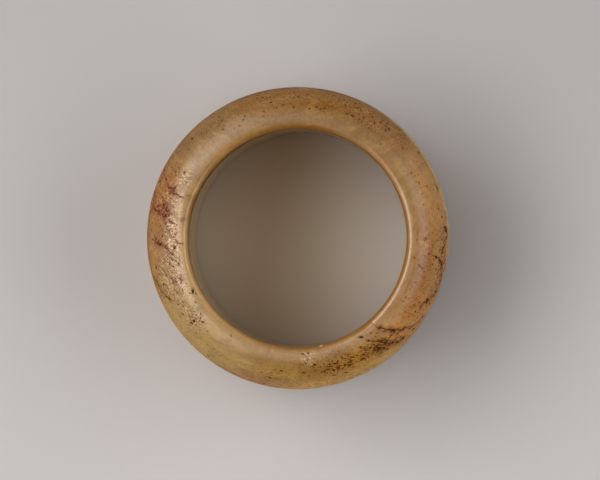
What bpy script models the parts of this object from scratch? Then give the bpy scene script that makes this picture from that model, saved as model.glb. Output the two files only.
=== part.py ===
"""A jade thumb ring, as an archer wears it.

It is one piece of stone, bored through, and it stands on its flat foot. Metres, +Z up. The origin is
on the bore's axis, at the level of the foot. Angles run anticlockwise seen from above, from +X.
"""

import math

import bmesh
import bpy
from mathutils import Vector

MM = 0.001

# Driving dimensions
BORE_DIAMETER = 22.0 * MM
WALL = 4.3 * MM  # at the widest, just below the shoulder
HEIGHT = 22.0 * MM
LIP_ROUNDING = 0.58 * MM  # radius of the crisp inner edge on top
FOOT_TAPER = 0.35 * MM  # how far the outside draws in from the shoulder to the foot
FOOT_OUTER_ROUNDING = 0.9 * MM
FOOT_INNER_ROUNDING = 0.5 * MM

# Hand work: the outside isn't quite round
OUT_OF_ROUND = 0.035 * MM
OUT_OF_ROUND_LOBES = 3
OUT_OF_ROUND_TURN = 20.0  # degrees

# Wear: from WEAR_START round to the fissure, the lip is rubbed down
WEAR_START = 205.0  # degrees
WEAR_RAMP = 45.0  # degrees over which the wear comes in
LIP_WEAR = 0.35 * MM
LIP_WEAR_REACH = 1.2 * MM  # how far out from the bore the lip is rubbed

# The fissure: a natural seam over the shoulder and down the side, with the stone on its worn side
# a little lower
FISSURE_ANGLE = 311.5  # degrees, where it leaves the lip
FISSURE_SWEEP = 23.0  # degrees that it has turned by the bottom of the shoulder
FISSURE_BEND = 1.5  # above 1, most of the turn comes low on the shoulder
FISSURE_STEP = 0.12 * MM
FISSURE_FADE = 24.0  # degrees over which the lower side comes level again
FISSURE_REACH = 60.0  # degrees each way over which the mesh lines lean with the fissure

# Facets
TURN_SEGMENTS = 120
LIP_SEGMENTS = 5
SHOULDER_SEGMENTS = 10
SIDE_SEGMENTS = 6
FOOT_SEGMENTS = 4
BORE_SEGMENTS = 3

JADE_COLOUR = (0.42, 0.26, 0.11, 1.0)
JADE_ROUGHNESS = 0.32

# Worked out from the sizes above
BORE_RADIUS = BORE_DIAMETER / 2
OUTER_RADIUS = BORE_RADIUS + WALL
SHOULDER_RADIUS = WALL - LIP_ROUNDING
CREST_RADIUS = BORE_RADIUS + LIP_ROUNDING
SHOULDER_BOTTOM = HEIGHT - SHOULDER_RADIUS
LIP_BOTTOM = HEIGHT - LIP_ROUNDING
QUARTER_TURN = 90.0
FULL_TURN = 360.0
LENGTH_TOLERANCE = 0.001 * MM
ANGLE_TOLERANCE = 0.01  # degrees


def smooth(share):
    """0 to 1, with no kink at either end."""
    share = min(1.0, max(0.0, share))
    return share * share * (3 - 2 * share)


def arc(centre_radius, centre_height, radius, start, end, segments):
    """Points along an arc of the section, from start to end in degrees above the outward direction."""
    points = []
    for i in range(segments + 1):
        turn = math.radians(start + (end - start) * i / segments)
        along = centre_radius + radius * math.cos(turn)
        points.append((along, centre_height + radius * math.sin(turn)))
    return points


def side():
    """Points down the outside, from the shoulder to the foot's rounding, drawing in gently."""
    points = []
    drop = SHOULDER_BOTTOM - FOOT_OUTER_ROUNDING
    for i in range(1, SIDE_SEGMENTS):
        share = i / SIDE_SEGMENTS
        points.append((OUTER_RADIUS - FOOT_TAPER * share ** 2, SHOULDER_BOTTOM - drop * share))
    return points


def bore():
    """Points up the bore, from the foot's inner rounding to the lip."""
    points = []
    rise = LIP_BOTTOM - FOOT_INNER_ROUNDING
    for i in range(1, BORE_SEGMENTS):
        points.append((BORE_RADIUS, FOOT_INNER_ROUNDING + rise * i / BORE_SEGMENTS))
    return points


def section():
    """The closed outline of the stone on one side of the axis, as (radius, height) points."""
    foot_centre = OUTER_RADIUS - FOOT_TAPER - FOOT_OUTER_ROUNDING
    lip = arc(CREST_RADIUS, LIP_BOTTOM, LIP_ROUNDING, 180, 90, LIP_SEGMENTS)
    shoulder = arc(CREST_RADIUS, SHOULDER_BOTTOM, SHOULDER_RADIUS, 90, 0, SHOULDER_SEGMENTS)
    foot_outside = arc(foot_centre, FOOT_OUTER_ROUNDING, FOOT_OUTER_ROUNDING, 0, -90, FOOT_SEGMENTS)
    bore_side = BORE_RADIUS + FOOT_INNER_ROUNDING
    foot_inside = arc(bore_side, FOOT_INNER_ROUNDING, FOOT_INNER_ROUNDING, -90, -180, FOOT_SEGMENTS)
    return lip + shoulder[1:] + side() + foot_outside + foot_inside + bore()


def turned(outline):
    """The outline turned round the axis, starting at the fissure, so that one mesh line can follow it."""
    mesh = bmesh.new()
    start = math.radians(FISSURE_ANGLE)
    ring = []
    for radius, height in outline:
        ring.append(mesh.verts.new((radius * math.cos(start), radius * math.sin(start), height)))
    edges = []
    for i, vertex in enumerate(ring):
        edges.append(mesh.edges.new((vertex, ring[(i + 1) % len(ring)])))
    bmesh.ops.spin(
        mesh,
        geom=ring + edges,
        cent=(0, 0, 0),
        axis=(0, 0, 1),
        angle=2 * math.pi,
        steps=TURN_SEGMENTS,
        use_merge=True,
    )
    bmesh.ops.recalc_face_normals(mesh, faces=mesh.faces)
    return mesh


def slope(radius, height):
    """How far the surface leans outwards there, in degrees: 0 on the crest, 90 on the side."""
    if height < SHOULDER_BOTTOM:
        return QUARTER_TURN
    across = min(1.0, max(0.0, (radius - CREST_RADIUS) / SHOULDER_RADIUS))
    return math.degrees(math.asin(across))


def behind_fissure(angle):
    """Degrees from the angle forward to the fissure; on the fissure itself it is about 0."""
    return (FISSURE_ANGLE + ANGLE_TOLERANCE - angle) % FULL_TURN


def swept(angle, radius, height):
    """The angle of a mesh line once it leans with the fissure."""
    away = min(behind_fissure(angle), FULL_TURN - behind_fissure(angle))
    lean = FISSURE_SWEEP * (slope(radius, height) / QUARTER_TURN) ** FISSURE_BEND
    return angle + lean * smooth(1 - away / FISSURE_REACH)


def lip_wear(angle, radius):
    """How far the rubbing takes the lip down."""
    along = (FISSURE_ANGLE - WEAR_START) % FULL_TURN - behind_fissure(angle)
    near_bore = max(0.0, 1 - (radius - BORE_RADIUS) / LIP_WEAR_REACH)
    return LIP_WEAR * smooth(along / WEAR_RAMP) * near_bore ** 2


def fissure_step(angle, height):
    """How far the stone lies below the fissure's high side. It comes level down the side."""
    fade_down = smooth((height - FOOT_OUTER_ROUNDING) / (SHOULDER_BOTTOM - FOOT_OUTER_ROUNDING))
    return FISSURE_STEP * smooth(1 - behind_fissure(angle) / FISSURE_FADE) * fade_down


def reshape(point):
    """A point of the turned stone, moved to where the hand work, the wear and the fissure leave it."""
    radius = math.hypot(point.x, point.y)
    angle = math.degrees(math.atan2(point.y, point.x)) % FULL_TURN
    height = point.z
    turn = math.radians(angle)
    new_radius = radius
    new_height = height
    if height > LIP_BOTTOM - LENGTH_TOLERANCE:
        new_height -= lip_wear(angle, radius)
    if radius > CREST_RADIUS + LENGTH_TOLERANCE:
        lean = math.radians(slope(radius, height))
        step = fissure_step(angle, height)
        lobes = math.cos(math.radians(OUT_OF_ROUND_LOBES * (angle - OUT_OF_ROUND_TURN)))
        new_radius += OUT_OF_ROUND * lobes * (radius - CREST_RADIUS) / SHOULDER_RADIUS
        new_radius -= step * math.sin(lean)
        new_height -= step * math.cos(lean)
        turn = math.radians(swept(angle, radius, height))
    return Vector((new_radius * math.cos(turn), new_radius * math.sin(turn), new_height))


def jade():
    """Polished brown nephrite."""
    material = bpy.data.materials.new("jade")
    material.use_nodes = True
    shader = material.node_tree.nodes["Principled BSDF"]
    shader.inputs["Base Color"].default_value = JADE_COLOUR
    shader.inputs["Roughness"].default_value = JADE_ROUGHNESS
    shader.inputs["Metallic"].default_value = 0.0
    material.diffuse_color = JADE_COLOUR
    return material


def thumb_ring():
    """The ring, in one piece."""
    mesh = turned(section())
    for vertex in mesh.verts:
        vertex.co = reshape(vertex.co)
    data = bpy.data.meshes.new("thumb_ring")
    mesh.to_mesh(data)
    mesh.free()
    data.shade_smooth()
    ring = bpy.data.objects.new("thumb_ring", data)
    ring.data.materials.append(jade())
    bpy.context.scene.collection.objects.link(ring)
    return ring


def main():
    for thing in list(bpy.data.objects):
        bpy.data.objects.remove(thing)
    thumb_ring()


main()
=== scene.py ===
import math

import bpy
import numpy as np
from mathutils import Matrix, Vector, noise


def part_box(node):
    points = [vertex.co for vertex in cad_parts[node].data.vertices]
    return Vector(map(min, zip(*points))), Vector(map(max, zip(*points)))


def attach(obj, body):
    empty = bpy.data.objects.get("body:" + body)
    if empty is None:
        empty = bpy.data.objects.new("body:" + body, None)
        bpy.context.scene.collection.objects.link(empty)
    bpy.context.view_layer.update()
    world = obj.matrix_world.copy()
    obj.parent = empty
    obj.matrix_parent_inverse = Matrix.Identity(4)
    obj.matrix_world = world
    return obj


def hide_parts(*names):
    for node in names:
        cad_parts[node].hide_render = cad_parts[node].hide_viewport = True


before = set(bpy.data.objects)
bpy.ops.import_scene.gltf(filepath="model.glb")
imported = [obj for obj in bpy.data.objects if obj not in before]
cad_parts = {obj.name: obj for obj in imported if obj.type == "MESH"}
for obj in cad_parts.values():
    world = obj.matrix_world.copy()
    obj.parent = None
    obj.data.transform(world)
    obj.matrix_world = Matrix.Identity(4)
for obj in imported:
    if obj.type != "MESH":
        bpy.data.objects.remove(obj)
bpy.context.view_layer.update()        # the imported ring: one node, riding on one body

# THE TUBE OF STONE
# An archer's ring is a plug of brown nephrite, drilled through and ground round on a lathe, then
# polished by hand: a straight bore, a tight lip, a shoulder as wide as the wall, a flat foot.
# Sizes are in millimetres and degrees, anticlockwise from +X seen from above.
MM = 0.001
QUARTER_TURN = 90.0
TOLERANCE = 0.001
BORE_RADIUS = 11.0
WALL = 4.3
LIP_ROUNDING = 0.58
FOOT_TAPER = 0.35
FOOT_OUTER_ROUNDING = 0.9
FOOT_INNER_ROUNDING = 0.5
LIP_ROWS = 10
SHOULDER_ROWS = 62
SIDE_ROWS = 32
SIDE_CROWDING = 1.4  # above 1, the rows lie closer together near the shoulder
FOOT_OUTER_ROWS = 6
FOOT_ROWS = 3
FOOT_INNER_ROWS = 5
BORE_ROWS = 17

ring_low, ring_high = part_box("thumb_ring")
height = (ring_high.z - ring_low.z) / MM
outer_radius = BORE_RADIUS + WALL
crest_radius = BORE_RADIUS + LIP_ROUNDING
shoulder_radius = WALL - LIP_ROUNDING
shoulder_bottom = height - shoulder_radius
lip_bottom = height - LIP_ROUNDING


def turned_arc(centre_radius, centre_height, radius, start, end, count):
    """Rows of the section round an arc: radius, height, and how far the face leans from straight up."""
    turns = np.linspace(start, end, count, endpoint=False)
    return [
        (
            centre_radius + radius * math.cos(math.radians(turn)),
            centre_height + radius * math.sin(math.radians(turn)),
            QUARTER_TURN - turn,
        )
        for turn in turns
    ]


def turned_side(count):
    """Rows down the side, which draws in towards the foot."""
    drop = shoulder_bottom - FOOT_OUTER_ROUNDING
    shares = np.linspace(0, 1, count, endpoint=False) ** SIDE_CROWDING
    return [
        (outer_radius - FOOT_TAPER * share**2, shoulder_bottom - drop * share, QUARTER_TURN)
        for share in shares
    ]


def straight(start, end, lean, count):
    """Rows along a straight stretch of the section."""
    shares = np.linspace(0, 1, count, endpoint=False)
    return [
        (start[0] + (end[0] - start[0]) * share, start[1] + (end[1] - start[1]) * share, lean)
        for share in shares
    ]


foot_centre = outer_radius - FOOT_TAPER - FOOT_OUTER_ROUNDING
foot_inner_centre = BORE_RADIUS + FOOT_INNER_ROUNDING
section = (
    turned_arc(crest_radius, lip_bottom, LIP_ROUNDING, 180, 90, LIP_ROWS)
    + turned_arc(crest_radius, shoulder_bottom, shoulder_radius, 90, 0, SHOULDER_ROWS)
    + turned_side(SIDE_ROWS)
    + turned_arc(foot_centre, FOOT_OUTER_ROUNDING, FOOT_OUTER_ROUNDING, 0, -90, FOOT_OUTER_ROWS)
    + straight((foot_centre, 0), (foot_inner_centre, 0), 180, FOOT_ROWS)
    + turned_arc(foot_inner_centre, FOOT_INNER_ROUNDING, FOOT_INNER_ROUNDING, -90, -180, FOOT_INNER_ROWS)
    + straight((BORE_RADIUS, FOOT_INNER_ROUNDING), (BORE_RADIUS, lip_bottom), -90, BORE_ROWS)
)
row_radius, row_height, row_lean = np.array(section).T[:, :, None]
rows = len(section)

# How far each row lies from the crest along the surface: positive out over the shoulder, negative in
steps = np.hypot(np.diff(row_radius[:, 0]), np.diff(row_height[:, 0]))
lip_length = math.radians(QUARTER_TURN) * LIP_ROUNDING
row_out = np.concatenate([[0.0], np.cumsum(steps)])[:, None] - lip_length
bore_start = rows - BORE_ROWS
row_out[bore_start:, 0] = row_out[0, 0] - (lip_bottom - row_height[bore_start:, 0])
on_outside = row_radius > crest_radius + TOLERANCE

# THE FISSURE
# A natural seam leaves the lip and swings round over the shoulder. The stone on its worn side lies a
# little lower; the other side keeps its crisp, polished edge. The mesh's columns swing round with it,
# so the step falls between two of them.
FULL_TURN = 360.0
COLUMNS = 720
FISSURE_ANGLE = 311.5
FISSURE_SWEEP = 23.0
FISSURE_BEND = 1.5
FISSURE_STEP = 0.12
FISSURE_FADE = 24.0
FISSURE_REACH = 60.0
FISSURE_WANDER = 0.9
FISSURE_WANDER_REACH = 8.0
FISSURE_WAVES = 1.5  # how often its line wanders, in waves per millimetre
FISSURE_EDGE = 0.22  # how far each side of the step is worn round
FISSURE_GROOVE = 0.07
FISSURE_GROOVE_WIDTH = 0.14
GROOVE_WAVES = 2.6
GROOVE_VARIES = 1.6  # above 1, the groove closes up in places
ANGLE_TOLERANCE = 0.01


def smooth(share):
    """0 to 1 with no kink at either end."""
    share = np.clip(share, 0.0, 1.0)
    return share * share * (3 - 2 * share)


def along_section(scale, seed):
    """A value that wanders from -1 to 1 along the section; scale is in waves per millimetre."""
    return np.array([[noise.noise((row * scale, seed, 0.0))] for row in row_out[:, 0]])


start_turns = FISSURE_ANGLE + np.arange(COLUMNS)[None, :] * FULL_TURN / COLUMNS
behind = (FISSURE_ANGLE + ANGLE_TOLERANCE - start_turns) % FULL_TURN
away = np.minimum(behind, FULL_TURN - behind)
lean_share = np.clip(row_lean, 0, QUARTER_TURN) / QUARTER_TURN * on_outside
wander = along_section(FISSURE_WAVES, 3.0) * on_outside
turn = start_turns + FISSURE_SWEEP * lean_share**FISSURE_BEND * smooth(1 - away / FISSURE_REACH)
turn = turn + FISSURE_WANDER * wander * smooth(1 - away / FISSURE_WANDER_REACH)

radius = np.repeat(row_radius, COLUMNS, axis=1)
level = np.repeat(row_height, COLUMNS, axis=1)
out = np.repeat(row_out, COLUMNS, axis=1)
lean = np.radians(np.repeat(row_lean, COLUMNS, axis=1))
down_side = smooth((level - FOOT_OUTER_ROUNDING) / (shoulder_bottom - FOOT_OUTER_ROUNDING))
behind_mm = np.radians(behind) * radius
ahead_mm = np.radians(FULL_TURN - behind) * radius
low_side = 1 - 0.5 * np.exp(-((behind_mm / FISSURE_EDGE) ** 2))
high_side = 0.5 * np.exp(-((ahead_mm / FISSURE_EDGE) ** 2))
seam_side = down_side * on_outside
relief = -FISSURE_STEP * (low_side * smooth(1 - behind / FISSURE_FADE) + high_side) * seam_side
open_share = np.clip(0.5 + GROOVE_VARIES * along_section(GROOVE_WAVES, 8.0), 0, 1)
from_fissure = np.minimum(behind_mm, ahead_mm) / FISSURE_GROOVE_WIDTH
relief -= FISSURE_GROOVE * open_share * np.exp(-(from_fissure**2)) * seam_side

# THE WEAR AND THE HAND WORK
# The lip is rubbed down between WEAR_START and the fissure, where the bowstring and the thumb worked
# on it. The outside isn't quite round, because it was finished by hand, and the bore is a little
# tighter from the top round to the left.
OUT_OF_ROUND = 0.035
OUT_OF_ROUND_LOBES = 3
OUT_OF_ROUND_TURN = 20.0
WEAR_START = 205.0
WEAR_RAMP = 45.0
LIP_WEAR = 0.35
LIP_WEAR_REACH = 1.2
WAVE_DEPTH = 0.03
WAVE_LENGTH = 4.0
WAVE_CONTRAST = 0.6
TIGHT_FROM = 0.5  # how far in from the crest the bore is at its tightest


def around(turns, values):
    """A value that changes round the ring: what it is at some turns, and evenly between them."""
    return np.interp(turn, turns, values, period=FULL_TURN)


tight = around([70, 90, 105, 120, 135, 150, 165, 200], [0, 0.06, 0.12, 0.16, 0.16, 0.13, 0.08, 0])
radius = radius - tight * np.clip(-out / TIGHT_FROM, 0, 1)
worn = smooth(((FISSURE_ANGLE - WEAR_START) - behind) / WEAR_RAMP)
near_bore = np.clip(1 - (radius - BORE_RADIUS) / LIP_WEAR_REACH, 0, 1)
level = level - LIP_WEAR * worn * near_bore**2 * (level > lip_bottom - TOLERANCE)
lobes = np.cos(np.radians(OUT_OF_ROUND_LOBES * (start_turns - OUT_OF_ROUND_TURN)))
radius = radius + OUT_OF_ROUND * lobes * (radius - crest_radius) / shoulder_radius * on_outside

turn_rad = np.radians(turn)


def surface():
    """The stone's surface as it is so far, in millimetres."""
    lifted = radius + relief * np.sin(lean)
    return np.stack(
        [lifted * np.cos(turn_rad), lifted * np.sin(turn_rad), level + relief * np.cos(lean)], axis=-1
    )


def waves(length, seed, detail=2):
    """Soft unevenness over the stone, 0 to 1."""
    places = (smooth_stone.reshape(-1, 3) / length + seed).tolist()
    values = np.array([noise.fractal(place, 1.0, 2.0, detail) for place in places])
    return np.clip(0.5 + WAVE_CONTRAST * values, 0, 1).reshape(radius.shape)


smooth_stone = surface()
standing = level < FOOT_OUTER_ROUNDING
relief -= WAVE_DEPTH * waves(WAVE_LENGTH, 7.0) * ~standing

# THE PITS AND CHIPS
# Small hollows where soft grains fell out under the polish, dark with old grime, and a few chips out
# of the lip, too fresh to be dark.
PIT_DEPTH = 0.5  # share of the hollow's half width
FAR = 9.0  # where there is no mark near, in half widths
MARK_REACH = 0.6
NEAR_TURN = 5.0  # only faces that lie this near to a mark are tried with it
NEAR_OUT = 1.0
FOOT_JUMP = 1.0  # at the foot of the bore the distance out jumps by more than this
NOWHERE = 99.0  # the distance out that the faces there get
NO_MARK = (0, 0, 1, 1, 0, 0)


def turn_from(turn_at, turns):
    """How many degrees turns lie past a turn, from -180 to 180."""
    return (turns - turn_at + 180) % FULL_TURN - 180


corners = np.arange(rows * COLUMNS).reshape(rows, COLUMNS)
below = np.roll(corners, -1, axis=0)
faces = np.stack([corners, below, np.roll(below, -1, axis=1), np.roll(corners, -1, axis=1)], axis=-1)
corner_turn = turn.ravel()[faces]
corner_radius = radius.ravel()[faces]
corner_out = out.ravel()[faces]
middle_turn = corner_turn[..., 0] + turn_from(corner_turn[..., 0], corner_turn[..., 2]) / 2
middle_radius = corner_radius.mean(axis=-1)
middle_out = np.where(np.ptp(corner_out, axis=-1) < FOOT_JUMP, corner_out.mean(axis=-1), NOWHERE)

pits = [  # turn, distance out from the crest, half length, half width, slant, how dark
    (207.3, 0.20, 0.26, 0.12, 25, 1.0),
    (209.0, 0.04, 0.12, 0.06, 20, 0.8),
    (219.0, 1.85, 0.15, 0.12, 40, 1.0),
    (199.3, 3.10, 0.14, 0.10, 60, 1.0),
    (219.8, 1.08, 0.13, 0.06, 40, 0.8),
    (218.4, 0.78, 0.18, 0.05, 30, 0.7),
    (236.0, 0.30, 0.11, 0.06, 50, 0.6),
    (259.0, 3.15, 0.22, 0.08, 25, 0.9),
    (252.5, 3.85, 0.10, 0.06, 10, 0.7),
    (302.8, 0.32, 0.22, 0.12, 35, 1.0),
    (272.8, 0.15, 0.15, 0.08, 10, 0.8),
    (275.6, 0.10, 0.11, 0.09, 0, 0.8),
    (278.0, 1.38, 0.16, 0.08, 20, 0.8),
    (292.2, 2.44, 0.20, 0.10, 20, 0.8),
    (290.6, 2.30, 0.18, 0.08, 10, 0.9),
    (298.7, 2.50, 0.18, 0.10, 35, 0.8),
    (321.7, 4.40, 0.18, 0.10, 40, 0.9),
    (328.0, 2.72, 0.12, 0.07, 0, 0.9),
    (338.6, 4.45, 0.20, 0.12, 20, 0.7),
    (19.8, 4.20, 0.22, 0.10, 0, 1.0),
    (21.4, 3.95, 0.10, 0.06, 0, 0.7),
    (2.6, 4.30, 0.16, 0.12, 70, 0.8),
    (4.0, 4.05, 0.12, 0.09, 20, 0.7),
    (49.8, 3.10, 0.14, 0.12, 40, 0.8),
    (63.4, 3.12, 0.16, 0.08, 30, 0.8),
    (114.6, 1.50, 0.09, 0.07, 0, 0.8),
    (124.4, 1.68, 0.09, 0.07, 0, 0.8),
    (182.8, 2.40, 0.20, 0.12, 60, 0.7),
]
chips = [
    (257.5, 0.02, 0.14, 0.06, 0, 0.6),
    (282.5, -0.52, 0.18, 0.10, 0, 1.0),
    (312.3, -0.02, 0.19, 0.08, 65, 0.55),
]


def oval(places, mark):
    """Distance from the middle of an oval, 1 at its edge. At slant 0 it lies along the ring."""
    turn_at, out_at, half_length, half_width, slant = mark[:5]
    turns, radii, outs = places
    along = np.radians(turn_from(turn_at, turns)) * radii
    outwards = outs - out_at
    cos_slant = np.cos(np.radians(slant))
    sin_slant = np.sin(np.radians(slant))
    lengthwise = (along * cos_slant + outwards * sin_slant) / half_length
    return lengthwise, (outwards * cos_slant - along * sin_slant) / half_width


def nearest_marks(marks):
    """For each corner of each face, its place in the oval nearest to the face, and how dark that is."""
    nearest = np.full(middle_turn.shape, MARK_REACH)
    which = np.full(middle_turn.shape, -1)
    for i, mark in enumerate(marks):
        beside_it = np.abs(turn_from(mark[0], middle_turn)) < NEAR_TURN
        near = beside_it & (np.abs(middle_out - mark[1]) < NEAR_OUT)
        places = middle_turn[near], middle_radius[near], middle_out[near]
        distance = (np.hypot(*oval(places, mark)) - 1) * mark[3]
        closer = distance < nearest[near]
        found = np.flatnonzero(near)[closer]
        nearest.ravel()[found] = distance[closer]
        which.ravel()[found] = i
    chosen = np.array([*marks, NO_MARK])[which][:, :, None, :]
    lengthwise, crosswise = oval((corner_turn, corner_radius, corner_out), np.moveaxis(chosen, -1, 0))
    darkness = np.broadcast_to(chosen[..., 5], lengthwise.shape)
    lengthwise = np.where(which[..., None] < 0, FAR, lengthwise)
    return np.stack([lengthwise, crosswise, darkness], axis=-1)


for mark in pits + chips:
    hollow = np.clip(1 - np.hypot(*oval((turn, radius, out), mark)) ** 2, 0, 1)
    relief -= PIT_DEPTH * mark[3] * hollow
pit_place = nearest_marks(pits)
chip_place = nearest_marks(chips)

# THE VEINS
# Iron from the river bed crept in along fine cracks in the stone. It left them purple-brown on the
# left, rust-red on the right and olive-brown below, and they run on over the shoulder.
VEIN_WANDER = 0.22
VEIN_WAVES = 0.45
VEIN_REACH = 1.2
VEIN_NEAR_TURN = 15.0
VEIN_NEAR_OUT = 5.0
NO_STRETCH = (0, 0, 1, 1, 0, 1, 0)

veins = [  # turn, distance out from the crest, half width
    # At the left
    [
        (151.6, 5.4, 0.05), (152.8, 4.6, 0.06), (154.6, 4.0, 0.07),
        (156.5, 3.2, 0.06), (158.4, 2.4, 0.10), (159.4, 2.0, 0.18),
    ],
    [(158.2, 1.9, 0.14), (160.0, 1.7, 0.14), (160.4, 1.2, 0.06), (160.3, 0.6, 0.04)],
    [(161.5, 5.5, 0.06), (162.5, 4.7, 0.10), (165.0, 4.3, 0.08), (168.0, 4.1, 0.11)],
    [(168.0, 4.2, 0.12), (169.2, 3.5, 0.14), (169.6, 2.9, 0.14), (170.0, 2.3, 0.22), (171.4, 2.0, 0.16)],
    [
        (171.0, 2.2, 0.14), (174.0, 1.8, 0.07), (177.0, 1.5, 0.06),
        (179.5, 1.1, 0.05), (181.4, 0.7, 0.04), (183.2, 0.1, 0.05),
    ],
    [(165.2, 2.4, 0.10), (166.6, 2.1, 0.18), (168.2, 1.9, 0.20), (169.8, 1.5, 0.14)],
    [(167.6, 3.4, 0.05), (166.4, 2.8, 0.06), (167.4, 2.3, 0.08), (169.0, 2.6, 0.06), (170.6, 3.0, 0.05)],
    [
        (180.4, 3.5, 0.06), (182.0, 2.9, 0.10), (182.8, 2.4, 0.18),
        (183.6, 2.0, 0.12), (185.0, 1.6, 0.09), (187.2, 1.1, 0.07),
    ],
    [(172.4, 1.4, 0.05), (173.0, 1.1, 0.07), (173.4, 0.8, 0.05)],
    [(168.0, 4.6, 0.04), (178.0, 4.75, 0.04), (190.0, 4.7, 0.05), (210.0, 4.6, 0.03)],
    [(192.0, 4.8, 0.05), (196.0, 4.4, 0.08), (199.5, 3.9, 0.06), (203.0, 3.7, 0.09), (206.0, 2.9, 0.06)],
    # Below, on the fissure's worn side
    [(300.0, 1.3, 0.05), (303.0, 1.9, 0.08), (306.0, 2.5, 0.10), (308.0, 3.0, 0.12), (309.2, 3.5, 0.08)],
    [(304.0, 1.0, 0.04), (306.0, 1.4, 0.08), (308.0, 1.9, 0.07), (309.5, 2.2, 0.10), (312.0, 2.4, 0.06)],
    [
        (305.0, 1.6, 0.05), (307.5, 2.3, 0.07), (310.0, 2.7, 0.12),
        (312.5, 3.3, 0.14), (315.2, 3.9, 0.18), (317.4, 3.9, 0.08),
    ],
    # From the fissure on, and at the right
    [(330.0, 5.4, 0.06), (333.0, 7.5, 0.08), (334.4, 10.0, 0.06), (334.8, 13.0, 0.04)],
    [(314.2, 1.9, 0.06), (316.5, 2.5, 0.06), (320.0, 3.3, 0.03), (322.5, 4.0, 0.03), (326.0, 4.8, 0.03)],
    [(330.0, 3.1, 0.09), (331.4, 3.0, 0.13), (333.0, 3.1, 0.08)],
    [(332.6, 3.4, 0.07), (334.2, 3.4, 0.12), (335.4, 3.8, 0.08), (337.2, 4.4, 0.06), (338.6, 4.5, 0.09)],
    [(338.5, 4.4, 0.05), (341.0, 4.7, 0.04), (343.5, 4.55, 0.08), (346.0, 4.7, 0.04), (350.0, 5.2, 0.05)],
    [(346.6, 4.5, 0.05), (348.4, 4.2, 0.05), (350.2, 3.6, 0.05), (351.6, 3.0, 0.05), (353.0, 2.3, 0.035)],
    [(353.6, 3.6, 0.06), (355.7, 3.75, 0.10), (357.6, 4.1, 0.07), (359.6, 4.3, 0.12), (361.2, 4.7, 0.08)],
    [(346.2, 3.5, 0.04), (347.3, 3.9, 0.06), (349.3, 4.15, 0.08), (352.0, 4.7, 0.04)],
    [(1.0, 4.7, 0.07), (2.6, 4.45, 0.11), (3.6, 4.0, 0.09)],
    [(345.0, 1.8, 0.04), (346.2, 1.4, 0.05), (347.2, 1.0, 0.03)],
    # Down the side
    [
        (151.6, 5.4, 0.05), (149.0, 7.4, 0.07), (149.6, 10.2, 0.10),
        (147.0, 13.4, 0.06), (147.6, 17.0, 0.04),
    ],
    [
        (161.5, 5.5, 0.06), (160.0, 8.0, 0.10), (162.4, 9.4, 0.16),
        (161.0, 11.0, 0.08), (165.0, 14.5, 0.05),
    ],
    [(350.0, 5.2, 0.06), (353.0, 6.8, 0.10), (352.2, 8.2, 0.08), (355.0, 11.6, 0.05)],
    [(40.0, 7.0, 0.04), (43.0, 9.2, 0.08), (42.0, 12.0, 0.12), (45.5, 15.0, 0.06), (46.0, 18.6, 0.04)],
    [(92.0, 9.0, 0.04), (97.0, 10.6, 0.07), (103.0, 11.0, 0.10), (108.0, 12.8, 0.05)],
    [(242.0, 8.2, 0.05), (246.0, 10.4, 0.09), (245.0, 13.2, 0.07), (249.0, 16.0, 0.04)],
    [(284.0, 6.4, 0.05), (289.0, 7.4, 0.09), (295.0, 7.8, 0.07), (300.0, 9.6, 0.05)],
]
fissure_stain = [  # along the fissure, with crisper edges than the veins
    (311.6, 0.3, 0.05), (312.9, 0.9, 0.09), (314.5, 1.5, 0.12), (316.1, 2.0, 0.12), (318.3, 2.6, 0.09),
    (320.3, 3.1, 0.06), (322.6, 3.6, 0.04), (325.0, 4.1, 0.045), (327.0, 4.5, 0.05), (330.0, 5.4, 0.04),
]

shift_along = VEIN_WANDER * (waves(VEIN_WAVES, 31.0, 3) * 2 - 1)
shift_across = VEIN_WANDER * (waves(VEIN_WAVES, 57.0, 3) * 2 - 1)
shifted = turn + np.degrees(shift_along / radius), out + shift_across
corner_shifted = shifted[0].ravel()[faces], shifted[1].ravel()[faces]
middle_shifted = (
    middle_turn + (corner_shifted[0] - corner_turn).mean(axis=-1),
    middle_out + (corner_shifted[1] - corner_out).mean(axis=-1),
)


def beside(places, radii, stretch):
    """Distance from a straight stretch of vein, sideways and past its ends, and its half width there."""
    start_turn, start_out, start_width, along_x, along_y, length, widening = stretch
    x = np.radians(turn_from(start_turn, places[0])) * radii
    y = places[1] - start_out
    forward = x * along_x + y * along_y
    within = np.clip(forward, 0, length)
    return y * along_x - x * along_y, forward - within, start_width + widening * within


def stretches(places):
    """The straight stretches of the vein that runs through the places."""
    for (turn_a, out_a, wide_a), (turn_b, out_b, wide_b) in zip(places, places[1:]):
        along_shoulder = min((out_a + out_b) / 2 / shoulder_radius, math.radians(QUARTER_TURN))
        x = math.radians(turn_b - turn_a) * (crest_radius + shoulder_radius * math.sin(along_shoulder))
        y = out_b - out_a
        length = math.hypot(x, y)
        yield turn_a, out_a, wide_a, x / length, y / length, length, (wide_b - wide_a) / length


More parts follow.
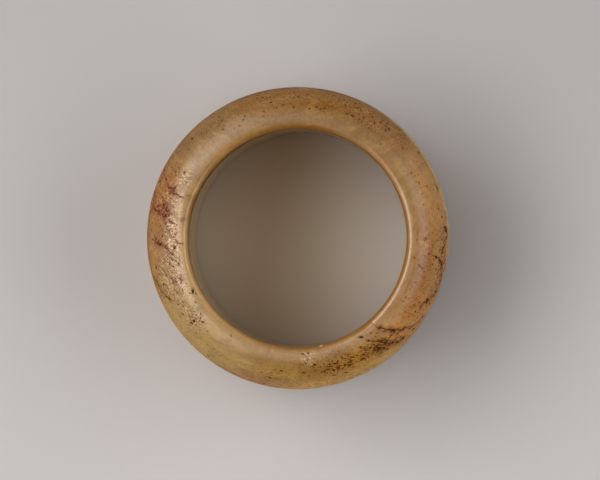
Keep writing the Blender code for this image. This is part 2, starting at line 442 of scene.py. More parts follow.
runs = [stretch for places in [*veins, fissure_stain] for stretch in stretches(places)]
nearest = np.full(middle_turn.shape, VEIN_REACH)
which = np.full(middle_turn.shape, -1)
for i, stretch in enumerate(runs):
    beside_it = np.abs(turn_from(stretch[0], middle_turn)) < VEIN_NEAR_TURN
    near = beside_it & (np.abs(middle_out - stretch[1]) < VEIN_NEAR_OUT)
    places = middle_shifted[0][near], middle_shifted[1][near]
    aside, past, half_width = beside(places, middle_radius[near], stretch)
    distance = np.hypot(aside, past) - half_width
    closer = distance < nearest[near]
    found = np.flatnonzero(near)[closer]
    nearest.ravel()[found] = distance[closer]
    which.ravel()[found] = i
chosen = np.moveaxis(np.array([*runs, NO_STRETCH])[which][:, :, None, :], -1, 0)
aside, past, half_width = beside(corner_shifted, corner_radius, chosen)
aside = np.where(which[..., None] < 0, FAR, aside / half_width)
first_crisp = len(runs) - len(fissure_stain) + 1
crisp = np.broadcast_to(which[..., None] >= first_crisp, aside.shape)
vein_place = np.stack([aside, past / half_width, crisp], axis=-1)

# THE SPECKS AND STREAKS
# Dark grains of other minerals lie along the stone's own layers, in swarms below and at the right, and
# as short parallel streaks at the left. The layers lie level across the ring and dip at its two sides.
LAYER_DIP = 6.0
LAYER_DIP_AT = 13.0
SWARM_SPREAD = 0.6  # share of a swarm's reach within which most of its specks lie
SPECK_SPREAD = 0.4  # how much they differ in size
SPECK_TWIST = 12.0  # how far they turn out of the layers
NEAREST_SPECK = 0.15  # to the crest
SPECK_DARKNESS = (0.3, 0.9)
SPECK_SEED = 4
SIDE_STARTS = 5.6  # distance out
SIDE_STRETCH = 4.0  # how much longer patches grow down the side
PATCH_EDGE = 1.35  # above 1, patches fade out beyond the size that they are given
PATCH_STOP = -0.95  # distance out
PATCH_STOP_WIDTH = 0.2

swarms = [  # turn, distance out, half turn, half distance, how many, half width, length in widths
    (287.5, 2.15, 12.0, 0.65, 280, 0.04, 1.6),
    (279.0, 1.4, 5.0, 0.60, 60, 0.035, 1.5),
    (289.0, 1.0, 9.0, 0.55, 50, 0.035, 1.3),
    (300.0, 2.1, 5.0, 0.80, 100, 0.04, 1.7),
    (308.5, 2.2, 4.5, 1.00, 110, 0.045, 1.9),
    (314.0, 2.6, 3.0, 0.90, 36, 0.05, 1.8),
    (328.0, 2.0, 6.0, 0.90, 110, 0.035, 1.4),
    (340.0, 4.0, 12.0, 0.70, 130, 0.04, 1.6),
    (356.0, 3.9, 9.0, 0.90, 110, 0.035, 1.6),
    (347.0, 2.0, 9.0, 1.20, 60, 0.035, 1.3),
    (2.0, 2.0, 6.0, 0.9, 30, 0.04, 1.2),
    (23.0, 2.2, 9.0, 1.40, 50, 0.03, 1.4),
    (48.0, 3.4, 9.0, 1.20, 90, 0.035, 1.6),
    (56.0, 2.2, 6.0, 0.80, 60, 0.035, 1.6),
    (72.0, 3.0, 14.0, 1.40, 90, 0.035, 1.6),
    (97.0, 3.0, 13.0, 1.30, 60, 0.033, 1.6),
    (126.0, 2.4, 14.0, 1.20, 30, 0.033, 1.3),
    (151.5, 2.3, 3.5, 0.90, 44, 0.05, 1.2),
    (163.0, 2.6, 8.0, 1.40, 110, 0.045, 1.4),
    (180.0, 2.4, 8.0, 1.40, 60, 0.04, 1.6),
    (201.0, 3.4, 6.0, 0.70, 70, 0.04, 1.8),
    (209.0, 2.2, 5.0, 0.60, 36, 0.035, 2.0),
    (219.0, 1.8, 5.0, 0.60, 50, 0.035, 2.0),
    (192.0, 0.9, 16.0, 0.45, 70, 0.04, 1.8),
    (235.0, 2.8, 16.0, 1.60, 24, 0.035, 1.5),
    (262.0, 3.0, 10.0, 1.40, 26, 0.035, 2.0),
    (20.0, 9.0, 30.0, 4.0, 150, 0.055, 1.6),
    (100.0, 10.0, 36.0, 5.0, 170, 0.055, 1.6),
    (190.0, 9.0, 40.0, 4.0, 170, 0.055, 1.8),
    (280.0, 9.0, 36.0, 4.0, 170, 0.06, 2.0),
]
spots = [  # turn, distance out, half length, half width, slant
    (106.0, 3.60, 0.10, 0.07, 0),
    (104.0, 3.50, 0.12, 0.06, 30),
    (101.0, 3.30, 0.08, 0.11, 0),
    (101.0, 2.50, 0.12, 0.08, 20),
    (96.0, 1.95, 0.13, 0.06, 0),
    (91.5, 1.60, 0.11, 0.07, 0),
    (99.0, 1.70, 0.08, 0.06, 0),
    (104.7, 1.60, 0.08, 0.06, 0),
    (54.0, 3.20, 0.10, 0.08, 0),
    (56.0, 2.60, 0.12, 0.08, 30),
    (43.5, 4.25, 0.10, 0.08, 0),
    (46.5, 4.40, 0.14, 0.07, 0),
    (65.5, 2.00, 0.20, 0.08, 10),
    (68.0, 1.95, 0.15, 0.07, 0),
    (70.0, 2.90, 0.14, 0.08, 20),
    (78.0, 1.80, 0.12, 0.06, 0),
    (81.5, 1.80, 0.14, 0.06, 0),
    (84.5, 1.50, 0.10, 0.07, 0),
    (29.5, 1.70, 0.10, 0.07, 0),
    (24.3, 1.95, 0.09, 0.06, 0),
    (8.2, 3.70, 0.09, 0.08, 0),
    (11.5, 3.40, 0.08, 0.06, 0),
    (200.8, 0.85, 0.18, 0.05, 60),
    (192.0, 3.50, 0.13, 0.10, 40),
    (263.3, 2.00, 0.16, 0.08, 10),
    (233.0, 4.20, 0.14, 0.08, 0),
    (284.5, 1.65, 0.16, 0.08, 20),
    (287.5, 2.50, 0.20, 0.09, 20),
    (290.0, 3.30, 0.26, 0.06, 20),
    (285.0, 3.10, 0.18, 0.06, 15),
    (304.5, 2.40, 0.22, 0.08, 30),
    (299.6, 2.05, 0.20, 0.10, 30),
    (280.3, 1.70, 0.14, 0.07, 10),
    (286.5, 1.70, 0.16, 0.07, 20),
    (290.5, 1.30, 0.12, 0.08, 60),
    (295.0, 1.75, 0.20, 0.08, 20),
]
faint_spots = [  # the same, and how dark
    (170.8, 0.05, 0.30, 0.20, 40, 0.45),
    (159.0, 0.20, 0.20, 0.06, 60, 0.5),
]


def layer_slant(turn_at, out_at):
    """The slant of an oval that lies along the stone's layers there."""
    at = math.radians(turn_at)
    x = (crest_radius + min(out_at, shoulder_radius)) * math.cos(at)
    dip = 3 * LAYER_DIP / LAYER_DIP_AT * (x / LAYER_DIP_AT) ** 2 * math.copysign(1, x)
    outwards = math.cos(at) + dip * math.sin(at)
    onwards = dip * math.cos(at) - math.sin(at)
    return math.degrees(math.atan2(outwards, onwards))


stream = np.random.default_rng(SPECK_SEED)
specks = [(*spot, 1.0) for spot in spots] + faint_spots
for turn_at, out_at, half_turn, half_out, number, size, longer in swarms:
    for _ in range(number):
        speck_turn = turn_at + half_turn * stream.normal() * SWARM_SPREAD
        speck_out = max(NEAREST_SPECK, out_at + half_out * stream.normal() * SWARM_SPREAD)
        half_width = size * math.exp(SPECK_SPREAD * stream.normal())
        slant = layer_slant(speck_turn, speck_out) + stream.normal() * SPECK_TWIST
        darkness = stream.uniform(*SPECK_DARKNESS)
        specks.append((speck_turn, speck_out, half_width * longer, half_width, slant, darkness))
speck_place = nearest_marks(specks)


def patch(turn_at, out_at, half_turn, half_out):
    """1 in the middle of a patch of the surface, fading out round its edge, and none down the bore."""
    down = np.where(out > SIDE_STARTS, SIDE_STARTS + (out - SIDE_STARTS) / SIDE_STRETCH, out)
    distance = np.hypot(turn_from(turn_at, turn) / half_turn, (down - out_at) / half_out)
    return smooth(PATCH_EDGE - distance) * smooth((out - PATCH_STOP) / PATCH_STOP_WIDTH)


def patches(*shares):
    """Several patches as one, the strongest on top."""
    return np.maximum.reduce(shares)


# Where the dust of finer specks lies thick
dusty = patches(
    0.9 * patch(307, 2.2, 9, 1.9),
    1.2 * patch(288, 2.1, 15, 1.1),
    0.7 * patch(338, 4.0, 22, 1.3),
    0.75 * patch(70, 3.2, 30, 1.8),
    0.75 * patch(98, 3.2, 16, 1.6),
    0.7 * patch(165, 2.6, 17, 2.0),
    0.9 * patch(206, 2.6, 8, 1.3),
    0.4 * patch(5, 2.6, 26, 1.6),
    0.6 * patch(60, 7, 30, 1.6),
    0.6 * patch(200, 6.8, 40, 1.4),
    0.6 * patch(300, 6.8, 34, 1.4),
)
across_layers = smooth_stone[..., 1] - LAYER_DIP * np.abs(smooth_stone[..., 0] / LAYER_DIP_AT) ** 3
layer_place = np.stack([smooth_stone[..., 0], across_layers, smooth_stone[..., 2]], axis=-1)

# THE COLOURS AND THE POLISH
# Brown nephrite: tan, golden brown above, olive below left and rosy at the right, where iron from the
# river bed stained it. Thumbs and the bowstring keep the bore and the lip glossy; the shoulder has an
# older, duller polish, and where the streaks run it is rough and glitters.
LIGHT_DEPTH = 2.0  # how deep light goes into the stone
SKIN_DEPTH = 0.06  # how deep the roughness of the surface is


def across(outs, values):
    """A value that changes across the wall, by the distance out from the crest."""
    return np.interp(out, outs, values)


orange_edges = patches(patch(262, 4.65, 28, 0.4), 0.7 * patch(333, 5.2, 14, 0.5))
# Painted sheen: paler colour on the crest where the soft lights' highlight lies, at the left, below and
# at the right
painted_sheens = patches(
    patch(187, 0.75, 31, 0.8),
    0.5 * patch(230, 0.9, 22, 0.9),
    0.45 * patch(150, 1.5, 12, 0.8),
)
sheens_below = patches(patch(276, 0.2, 46, 0.8), patch(345, 0.0, 50, 0.5))
tints = {  # where, the colour of the stone there, and how strongly it covers
    "golden_top": (patch(85, 3.9, 54, 3.0), (148, 97, 22), 0.95),
    "tan_upper_left": (patch(129, 1.2, 26, 1.3), (168, 134, 100), 0.75),
    "brown_upper_left": (patch(130, 3.6, 16, 2.4), (131, 97, 46), 0.8),
    "russet_left": (patch(164, 2.9, 15, 2.2), (166, 102, 31), 0.9),
    "russet_lower_left": (patch(196, 3.8, 11, 1.6), (153, 97, 25), 0.85),
    "brown_spot_left": (patch(195, 3.5, 4, 0.5), (116, 68, 14), 0.6),
    "olive_left": (patch(226, 2.8, 34, 4.4), (180, 145, 80), 0.9),
    "olive_below": (patch(270, 2.6, 20, 2.4), (176, 133, 58), 0.9),
    "orange_edge": (orange_edges, (189, 104, 32), 0.8),
    "yellow_rim": (patch(292, 4.75, 32, 1.7), (240, 184, 90), 0.82),
    "rust_below_left": (patch(253, 3.6, 7, 0.9), (158, 98, 28), 0.6),
    "brown_below": (patch(298, 2.1, 16, 1.5), (206, 145, 44), 0.85),
    "tan_by_the_fissure": (patch(317, 1.8, 6, 1.4), (230, 194, 128), 0.85),
    "rosy_lower_right": (patch(326, 3.0, 18, 3.0), (221, 151, 74), 0.85),
    "rosy_right": (patch(5, 3.2, 34, 2.8), (205, 149, 85), 0.85),
    "rosy_crest": (patch(350, 1.3, 28, 1.3), (178, 108, 44), 0.85),
    "brown_upper_right": (patch(48, 2.2, 12, 1.7), (149, 97, 34), 0.75),
    "bright_rim_right": (patch(20, 5.4, 44, 1.0), (215, 175, 132), 0.7),
    "brown_rim_left": (patch(160, 5.2, 42, 1.6), (132, 82, 26), 0.85),
    "brown_lip_left": (patch(165, -0.1, 9, 0.8), (150, 98, 46), 0.6),
    "brown_edge_top": (patch(100, 5.3, 38, 0.9), (104, 56, 4), 0.8),
    "tan_band_top": (patch(96, 2.5, 20, 0.5), (160, 124, 76), 0.6),
    "tan_top": (patch(76, 0.4, 42, 1.3), (136, 98, 59), 0.75),
    "hazy_crest": (across([-0.3, 0.0, 0.9, 2.4], [0.0, 1.0, 1.0, 0.0]), (165, 130, 83), 0.5),
    # the last two are painted sheen, not the stone's own colour
    "painted_sheen": (painted_sheens, (230, 194, 152), 0.7),
    "painted_sheen_below": (sheens_below, (200, 165, 129), 0.33),
}

# The lip: amber where light comes through it; at the left, painted shade as a dark line along its edge
# into the bore, with a painted sheen on the pale slope above it; and at the right, a painted highlight
# along the crest
amber_side = around(
    [0, 45, 90, 115, 140, 245, 275, 310, 312],
    [0.9, 0.95, 0.82, 0.6, 0.1, 0.1, 0.45, 0.5, 0.95],
)
amber_lip = across([-1.2, -0.8, -0.42, -0.12], [0, 1, 1, 0]) * amber_side
# Painted shade: a dark line along the lip's edge into the bore at the left, running on down the top of
# the bore wall
edge_shade_side = around([50, 75, 120, 145, 165, 190, 215], [0, 0.9, 1, 0.9, 0.75, 0.5, 0])
edge_shade_reach = around([60, 110, 135, 158, 180, 200], [-0.08, -0.02, 0.07, 0.14, 0.06, 0.03])
painted_edge_shade = np.interp(out - edge_shade_reach, [-6.0, -3.0, -0.95, -0.72], [0, 1, 1, 0]) * edge_shade_side
# Painted sheen: a paler slope from the lip up onto the crest, at the left and below
sheen_slope_side = around([108, 135, 160, 180, 202, 235, 260], [0, 0.15, 0.12, 0.85, 0.65, 0.5, 0])
painted_slope_sheen = across([-0.72, -0.58, -0.32, 0.0, 0.3], [0, 1, 0.85, 0.6, 0]) * sheen_slope_side
# Painted highlight: a fine bright line along the crest of the crisp lip at the right
highlight_side = around([20, 60, 285, 300], [1, 0, 0, 1])
highlight_at = around([280, 311, 311.5], [0.06, 0.06, -0.1])
painted_lip_highlight = np.clip(1.5 - np.abs(out - highlight_at) / 0.09, 0, 1) * highlight_side

# The bore, and the upper part of its wall from the top round to the left, which light that comes
# through the shoulder brightens
in_bore = smooth((-0.85 - out) / 0.3)
lit_bore = around([60, 100, 215, 260], [0, 1, 1, 0]) * across([-20, -11], [0, 1])

# The veins' colours, and where the stone is streaked, glittering, layered, calm or grainy
red_veins = smooth(1.4 - np.abs(turn_from(345, turn)) / 40)
olive_veins = around([183, 205, 300, 325], [0, 1, 1, 0])
streaked = patches(patch(197, 2.2, 11, 1.5), 0.35 * patch(212, 2.0, 10, 1.2))
sparkle = patches(
    patch(184, 1.1, 26, 0.9),
    0.6 * patch(163, 1.9, 8, 1.0),
    0.45 * streaked,
    0.7 * patch(152, 1.2, 5, 0.8),
    0.7 * patch(275, 0.7, 3.5, 0.8),
    0.4 * patch(217, 1.6, 9, 1.2),
)
layered = patch(262, 3.4, 26, 2.0)
calm = patch(118, 2.0, 26, 3.0)
grainy = across([0.2, 1.4, 2.6], [0.4, 0.65, 1.0]) * (1 - 0.5 * patch(238, 2.5, 20, 5.0))
grainy = patches(grainy * (1 - 0.4 * patch(28, 2.0, 24, 3.0)), 0.8 * patch(184, 1.1, 28, 1.0))

# How dull the polish is, and where the surface under it is uneven
left_lip = around([100, 145, 250, 300], [0, 1, 1, 0]) * (out > -0.8)
dullness = across(
    [-0.05, 0.12, 0.5, 2.0, 3.5, 4.5, 6.5, 8.0],
    [0.06, 0.22, 0.33, 0.35, 0.5, 0.7, 0.65, 0.45],
)
dullness = dullness + across([-0.6, -0.1, 0.5], [0.15, 0.2, 0]) * left_lip + 0.5 * painted_edge_shade
uneven = across([-0.6, 0.3], [0.0, 1.0])

ring_mesh = bpy.data.meshes.new("polished_ring")
ring_mesh.from_pydata((surface() * MM).reshape(-1, 3).tolist(), [], faces.reshape(-1, 4).tolist())
ring_mesh.shade_smooth()
layers = {name: where for name, (where, _, _) in tints.items()}
layers |= {
    "dusty": dusty,
    "amber_lip": amber_lip,
    "painted_edge_shade": painted_edge_shade,
    "painted_slope_sheen": painted_slope_sheen,
    "painted_lip_highlight": painted_lip_highlight,
    "in_bore": in_bore,
    "lit_bore": lit_bore,
    "red_veins": red_veins,
    "olive_veins": olive_veins,
    "streaked": streaked,
    "sparkle": sparkle,
    "layered": layered,
    "calm": calm,
    "grainy": grainy,
    "dullness": dullness,
    "uneven": uneven,
}
for name, values in layers.items():
    layer = ring_mesh.attributes.new(name, "FLOAT", "POINT")
    layer.data.foreach_set("value", values.astype(np.float32).ravel())
layer = ring_mesh.attributes.new("layer_place", "FLOAT_VECTOR", "POINT")
layer.data.foreach_set("vector", layer_place.astype(np.float32).ravel())
for name, places in {
    "pit_place": pit_place,
    "chip_place": chip_place,
    "vein_place": vein_place,
    "speck_place": speck_place,
}.items():
    layer = ring_mesh.attributes.new(name, "FLOAT_VECTOR", "CORNER")
    layer.data.foreach_set("vector", places.astype(np.float32).ravel())
ring = bpy.data.objects.new("polished_ring", ring_mesh)
bpy.context.scene.collection.objects.link(ring)

jade = bpy.data.materials.new("jade")
jade.use_nodes = True
tree = jade.node_tree
polish = tree.nodes["Principled BSDF"]


def node(kind, **settings):
    """A shader node with its settings."""
    made = tree.nodes.new(kind)
    for name, value in settings.items():
        setattr(made, name, value)
    return made


def put(socket, value):
    """Gives a socket a value, or links an output to it."""
    if isinstance(value, bpy.types.NodeSocket):
        tree.links.new(value, socket)
    else:
        socket.default_value = value


def math_of(operation, first, second=0.0):
    """A sum, product or the like of two numbers."""
    made = node("ShaderNodeMath", operation=operation)
    put(made.inputs[0], first)
    put(made.inputs[1], second)
    return made.outputs[0]


def times(first, second):
    """Two numbers multiplied."""
    return math_of("MULTIPLY", first, second)


def plus(first, second):
    """Two numbers added."""
    return math_of("ADD", first, second)


def between(value, low, high, start=0.0, end=1.0):
    """The value's place between low and high, smoothed, as start to end."""
    made = node("ShaderNodeMapRange", interpolation_type="SMOOTHSTEP")
    put(made.inputs["Value"], value)
    put(made.inputs["From Min"], low)
    put(made.inputs["From Max"], high)
    put(made.inputs["To Min"], start)
    put(made.inputs["To Max"], end)
    return made.outputs["Result"]


def layer_value(name):
    """How far one of the ring's layers covers the stone there."""
    return node("ShaderNodeAttribute", attribute_name=name).outputs["Fac"]


def grains(scale, detail=2.0, roughness=0.5, places=None):
    """Noise over the stone; scale is in grains per millimetre."""
    made = node("ShaderNodeTexNoise")
    put(made.inputs["Vector"], places or stone_mm)
    put(made.inputs["Scale"], scale)
    put(made.inputs["Detail"], detail)
    put(made.inputs["Roughness"], roughness)
    return made.outputs["Fac"]


def drawn_out(share):
    """Places along the stone's layers, drawn out so that grains there are longer than they are thick."""
    made = node("ShaderNodeVectorMath", operation="MULTIPLY")
    put(made.inputs[0], node("ShaderNodeAttribute", attribute_name="layer_place").outputs["Vector"])
    made.inputs[1].default_value = (share, 1.0, share)
    return made.outputs[0]


def apart(name):
    """Distance from the nearest mark of a kind, 1 at its edge, and how dark or crisp that mark is."""
    place = node("ShaderNodeSeparateXYZ")
    put(place.inputs["Vector"], node("ShaderNodeAttribute", attribute_name=name).outputs["Vector"])
    sideways = times(place.outputs["X"], place.outputs["X"])
    lengthwise = times(place.outputs["Y"], place.outputs["Y"])
    return math_of("SQRT", plus(sideways, lengthwise)), place.outputs["Z"]


def ragged(distance, noise_value, amount):
    """The distance, made uneven by a noise."""
    return plus(distance, times(math_of("SUBTRACT", noise_value, 0.5), amount))


def stained(colour, stain, amount):
    """The colour, stained by another as far as the amount says."""
    made = node("ShaderNodeMix", data_type="RGBA")
    put(made.inputs["Factor"], amount)
    put(made.inputs["A"], colour)
    put(made.inputs["B"], stain)
    return made.outputs["Result"]


def srgb(red, green, blue):
    """A colour as a paint chart gives it, 0 to 255, turned into light."""
    return tuple(((value / 255 + 0.055) / 1.055) ** 2.4 for value in (red, green, blue)) + (1.0,)


in_mm = node("ShaderNodeVectorMath", operation="SCALE")
put(in_mm.inputs[0], node("ShaderNodeTexCoord").outputs["Object"])
in_mm.inputs["Scale"].default_value = 1 / MM
stone_mm = in_mm.outputs[0]

clouds = grains(0.18, 3.0)
mottle = grains(0.8, 4.0, 0.6)
grain = grains(2.6, 3.0, 0.6)
fine_grain = grains(5.0, 2.0, 0.6)
layering = grains(1.3, 4.0, 0.6, drawn_out(0.3))
strokes = grains(6.0, 2.0, 0.6, drawn_out(0.28))
dust = grains(4.4, 2.0, 0.5, drawn_out(0.6))
crackle = grains(4.4, 4.0, 0.75)
vein_grain = grains(5.4, 3.0, 0.7)
sparkling = layer_value("sparkle")
streaking = layer_value("streaked")

darker = srgb(134, 88, 34)
paler = srgb(208, 162, 92)
rusty = srgb(118, 62, 8)

# The stone's own colours and the painted sheen on the crest, then darker and paler mottling, layering and
# grain
colour = stained(srgb(176, 130, 70), srgb(162, 118, 58), between(clouds, 0.38, 0.62))
for name, (_, tint, strength) in tints.items():
    where = ragged(layer_value(name), mottle, 0.5)
    colour = stained(colour, srgb(*tint), times(between(where, 0.1, 0.9), strength))
pale_mottling = plus(0.35, times(layer_value("calm"), -0.25))
colour = stained(colour, darker, times(between(mottle, 0.5, 0.72), 0.4))
colour = stained(colour, paler, times(between(mottle, 0.5, 0.3), pale_mottling))
dark_layering = plus(0.3, times(layer_value("layered"), 0.4))
pale_layering = plus(0.3, times(layer_value("layered"), 0.3))
colour = stained(colour, darker, times(between(layering, 0.52, 0.7), dark_layering))
colour = stained(colour, paler, times(between(layering, 0.48, 0.3), pale_layering))
graining = layer_value("grainy")
colour = stained(colour, rusty, times(graining, between(grain, 0.52, 0.72, 0.0, 0.4)))
colour = stained(colour, rusty, times(graining, between(fine_grain, 0.54, 0.72, 0.0, 0.6)))
colour = stained(colour, srgb(216, 168, 100), times(graining, between(fine_grain, 0.46, 0.28, 0.0, 0.4)))

# The lip and the bore
colour = stained(colour, srgb(146, 99, 40), layer_value("amber_lip"))
# Painted highlight along the lip at the right
colour = stained(colour, srgb(244, 206, 176), times(layer_value("painted_lip_highlight"), 0.22))
# Painted sheen on the lip's slope
colour = stained(colour, srgb(234, 188, 132), times(layer_value("painted_slope_sheen"), 0.75))
colour = stained(colour, srgb(186, 139, 52), layer_value("in_bore"))
colour = stained(colour, srgb(222, 186, 90), times(layer_value("in_bore"), layer_value("lit_bore")))
# Painted shade along the lip's edge into the bore at the left
colour = stained(colour, srgb(66, 28, 2), times(layer_value("painted_edge_shade"), 0.95))

# The rough places that glitter, with painted glints of near-white colour among their grains, and the
# streaks
# Painted glints: near-white specks where the light glints on the rough grains
painted_glints = times(sparkling, between(crackle, 0.48, 0.39, 0.0, 0.85))
colour = stained(colour, srgb(255, 230, 202), painted_glints)
dark_grains = times(sparkling, between(crackle, 0.54, 0.61, 0.0, 0.9))
colour = stained(colour, srgb(112, 54, 14), dark_grains)
dark_strokes = times(streaking, between(strokes, 0.53, 0.60, 0.0, 0.85))
colour = stained(colour, srgb(104, 52, 6), dark_strokes)
pale_strokes = times(streaking, between(strokes, 0.46, 0.38, 0.0, 0.45))
colour = stained(colour, srgb(226, 186, 124), pale_strokes)

# The dust, the specks and the veins, with the stain round each
dusting = between(plus(dust, times(layer_value("dusty"), 0.2)), 0.79, 0.84)
colour = stained(colour, srgb(120, 72, 22), times(dusting, 0.85))

speck_distance, speck_darkness = apart("speck_place")
speck_edge = ragged(speck_distance, fine_grain, 1.2)
speck = times(between(speck_edge, 1.25, 0.8), speck_darkness)
speck_halo = times(between(speck_edge, 2.4, 1.0), speck_darkness)
colour = stained(colour, srgb(136, 76, 10), times(speck_halo, 0.4))
colour = stained(colour, srgb(112, 62, 22), speck)

vein_distance, vein_crisp = apart("vein_place")
vein_raggedness = plus(9.0, times(vein_crisp, -6.0))
vein_edge = ragged(ragged(vein_distance, vein_grain, vein_raggedness), mottle, 3.0)
halo = times(between(vein_edge, 5.5, 1.0), between(vein_grain, 0.35, 0.6, 0.3, 1.0))
vein_strength = plus(between(grain, 0.36, 0.5, 0.35, 1.0), times(vein_crisp, 0.3))
vein = times(between(vein_edge, 1.6, 0.5), math_of("MINIMUM", vein_strength, 1.0))
vein_colour = stained(srgb(120, 64, 42), srgb(118, 60, 32), layer_value("red_veins"))
vein_colour = stained(vein_colour, srgb(102, 64, 20), layer_value("olive_veins"))
halo_colour = stained(srgb(142, 70, 32), srgb(152, 74, 24), layer_value("red_veins"))
halo_colour = stained(halo_colour, srgb(136, 80, 12), layer_value("olive_veins"))
colour = stained(colour, halo_colour, times(halo, 0.6))
colour = stained(colour, vein_colour, times(vein, 0.9))

# The chips and the pits
chip_distance, chip_darkness = apart("chip_place")
chip = times(between(ragged(chip_distance, grain, 1.0), 1.2, 0.8), chip_darkness)
colour = stained(colour, srgb(240, 206, 160), chip)
pit_distance, pit_darkness = apart("pit_place")
pit_edge = ragged(pit_distance, fine_grain, 1.0)
pit = times(between(pit_edge, 1.1, 0.7), pit_darkness)
colour = stained(colour, srgb(116, 66, 12), times(between(pit_edge, 2.0, 1.1), 0.5))
colour = stained(colour, srgb(78, 48, 22), pit)
put(polish.inputs["Base Color"], colour)

# The gloss. The dark marks are grains of ore, dull and metallic, and the rough places glitter
ore = plus(plus(vein, speck), plus(times(dusting, 0.8), pit))
put(polish.inputs["Metallic"], between(ore, 0.0, 1.1, 0.0, 0.85))
rough_marks = plus(ore, plus(dark_grains, dark_strokes))
put(polish.inputs["Roughness"], plus(layer_value("dullness"), times(rough_marks, 0.5)))
polish.inputs["IOR"].default_value = 1.62
polish.inputs["Specular Tint"].default_value = (1.0, 0.97, 0.9, 1)
polish.inputs["Subsurface Weight"].default_value = 0.5
polish.inputs["Subsurface Radius"].default_value = (1.0, 0.75, 0.35)
polish.inputs["Subsurface Scale"].default_value = LIGHT_DEPTH * MM
glitter = times(sparkling, plus(times(crackle, -1.2), times(fine_grain, 0.8)))
glitter = plus(glitter, times(streaking, times(strokes, -1.0)))
unpolished = times(layer_value("uneven"), plus(times(fine_grain, 0.15), times(mottle, 0.12)))
skin = node("ShaderNodeBump")
skin.inputs["Strength"].default_value = 1.0
skin.inputs["Distance"].default_value = SKIN_DEPTH * MM
put(skin.inputs["Height"], plus(plus(glitter, unpolished), times(vein, -0.15)))
put(polish.inputs["Normal"], skin.outputs["Normal"])
ring.data.materials.append(jade)
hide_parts("thumb_ring")
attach(ring, "root")

# THE TABLE, THE LIGHT AND THE CAMERA
# Pale grey paper under the ring, which the light through the stone warms at the left of the bore. Two
# large soft lights stand on the left and one on the right, and the weak light of low white cards lifts
# the sides. The camera looks nearly straight down on a long lens. Sizes here are in metres.
FLOOR_SIZE = 1.6
SHADE_REACH = 0.024  # the paper pales slowly from this far above the ring's middle to this far below
PAPER_ABOVE = (0.552, 0.525, 0.514, 1)
PAPER_BELOW = (0.688, 0.645, 0.626, 1)
WARM_PAPER_ABOVE = (0.57, 0.53, 0.435, 1)
WARM_PAPER_BELOW = (0.705, 0.65, 0.53, 1)
WARM_RADIUS = 0.0115
WARM_EDGE = 0.0135  # the paper is plain from here out
WARMEST_TO = -0.002  # across the bore, from the left
LEAST_WARM_FROM = 0.009
LEAST_WARM = 0.3

floor_mesh = bpy.data.meshes.new("floor")
half = FLOOR_SIZE / 2
floor_corners = [(-half, -half, 0), (half, -half, 0), (half, half, 0), (-half, half, 0)]
floor_mesh.from_pydata(floor_corners, [], [(0, 1, 2, 3)])
floor = bpy.data.objects.new("floor", floor_mesh)
bpy.context.scene.collection.objects.link(floor)
paper = bpy.data.materials.new("paper")
paper.use_nodes = True
tree = paper.node_tree
sheet = tree.nodes["Principled BSDF"]
place = node("ShaderNodeSeparateXYZ")
put(place.inputs["Vector"], node("ShaderNodeTexCoord").outputs["Object"])
downwards = node("ShaderNodeMapRange")
put(downwards.inputs["Value"], place.outputs["Y"])
put(downwards.inputs["From Min"], SHADE_REACH)
put(downwards.inputs["From Max"], -SHADE_REACH)
from_axis = node("ShaderNodeVectorMath", operation="LENGTH")
put(from_axis.inputs[0], node("ShaderNodeTexCoord").outputs["Object"])
under_bore = between(from_axis.outputs["Value"], WARM_EDGE, WARM_RADIUS)
warmth = times(under_bore, between(place.outputs["X"], LEAST_WARM_FROM, WARMEST_TO, LEAST_WARM, 1.0))
plain_paper = stained(PAPER_ABOVE, PAPER_BELOW, downwards.outputs["Result"])
warm_paper = stained(WARM_PAPER_ABOVE, WARM_PAPER_BELOW, downwards.outputs["Result"])
put(sheet.inputs["Base Color"], stained(plain_paper, warm_paper, warmth))
sheet.inputs["Roughness"].default_value = 0.9
floor.data.materials.append(paper)


def facing(back, up):
    """The turn of a light or camera whose back points one way, with its top towards up."""
    side = up.cross(back).normalized()
    return Matrix((side, back.cross(side), back)).transposed().to_quaternion()


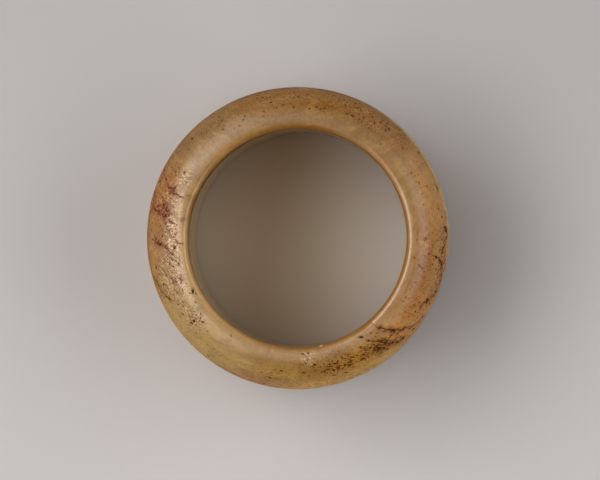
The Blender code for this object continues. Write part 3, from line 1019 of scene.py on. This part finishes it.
def softbox(name, azimuth, elevation, width, length, power):
    """A flat soft light, a metre away, that faces the ring. Its power is in watts."""
    light = bpy.data.lights.new(name, "AREA")
    light.shape = "RECTANGLE"
    light.size = width
    light.size_y = length
    light.energy = power
    lamp = bpy.data.objects.new(name, light)
    a = math.radians(azimuth)
    e = math.radians(elevation)
    away_from_ring = Vector((math.cos(a) * math.cos(e), math.sin(a) * math.cos(e), math.sin(e)))
    lamp.location = away_from_ring
    lamp.rotation_mode = "QUATERNION"
    lamp.rotation_quaternion = facing(away_from_ring, Vector((0, 0, 1)))
    lamp.visible_camera = False
    bpy.context.scene.collection.objects.link(lamp)


softbox("main_light", 172, 57, 0.75, 0.55, 3.9)
softbox("main_spread", 165, 64, 1.3, 0.9, 3.1)
softbox("side_light", 0, 52, 0.8, 0.5, 3.0)
softbox("left_card", 175, 15, 1.6, 0.3, 1.5)
softbox("far_right_card", 45, 20, 0.8, 0.3, 1.1)
softbox("near_left_card", 225, 27, 0.8, 0.3, 1.3)
softbox("far_left_card", 130, 27, 0.8, 0.3, 0.8)
world = bpy.data.worlds.new("room")
world.use_nodes = True
world.node_tree.nodes["Background"].inputs["Strength"].default_value = 0.0
bpy.context.scene.world = world
bpy.context.scene.view_settings.view_transform = "Standard"

CAMERA_HEIGHT = 0.645  # above the ring
CAMERA_RIGHT = 0.016  # of the ring's middle, as the picture shows it
CAMERA_BELOW = 0.003
AIM_RIGHT = 0.00031
AIM_BELOW = 0.00024
LENS = 385.0  # this and the film's width are in millimetres
FILM_WIDTH = 36.0
camera_data = bpy.data.cameras.new("camera")
camera_data.lens = LENS
camera_data.sensor_width = FILM_WIDTH
camera_data.clip_start = 0.01
camera_data.clip_end = 10
camera = bpy.data.objects.new("camera", camera_data)
aim = Vector((AIM_RIGHT, -AIM_BELOW, height * MM))
camera.location = (CAMERA_RIGHT, -CAMERA_BELOW, height * MM + CAMERA_HEIGHT)
camera.rotation_mode = "QUATERNION"
camera.rotation_quaternion = facing((camera.location - aim).normalized(), Vector((0, 1, 0)))
bpy.context.scene.collection.objects.link(camera)
bpy.context.scene.camera = camera
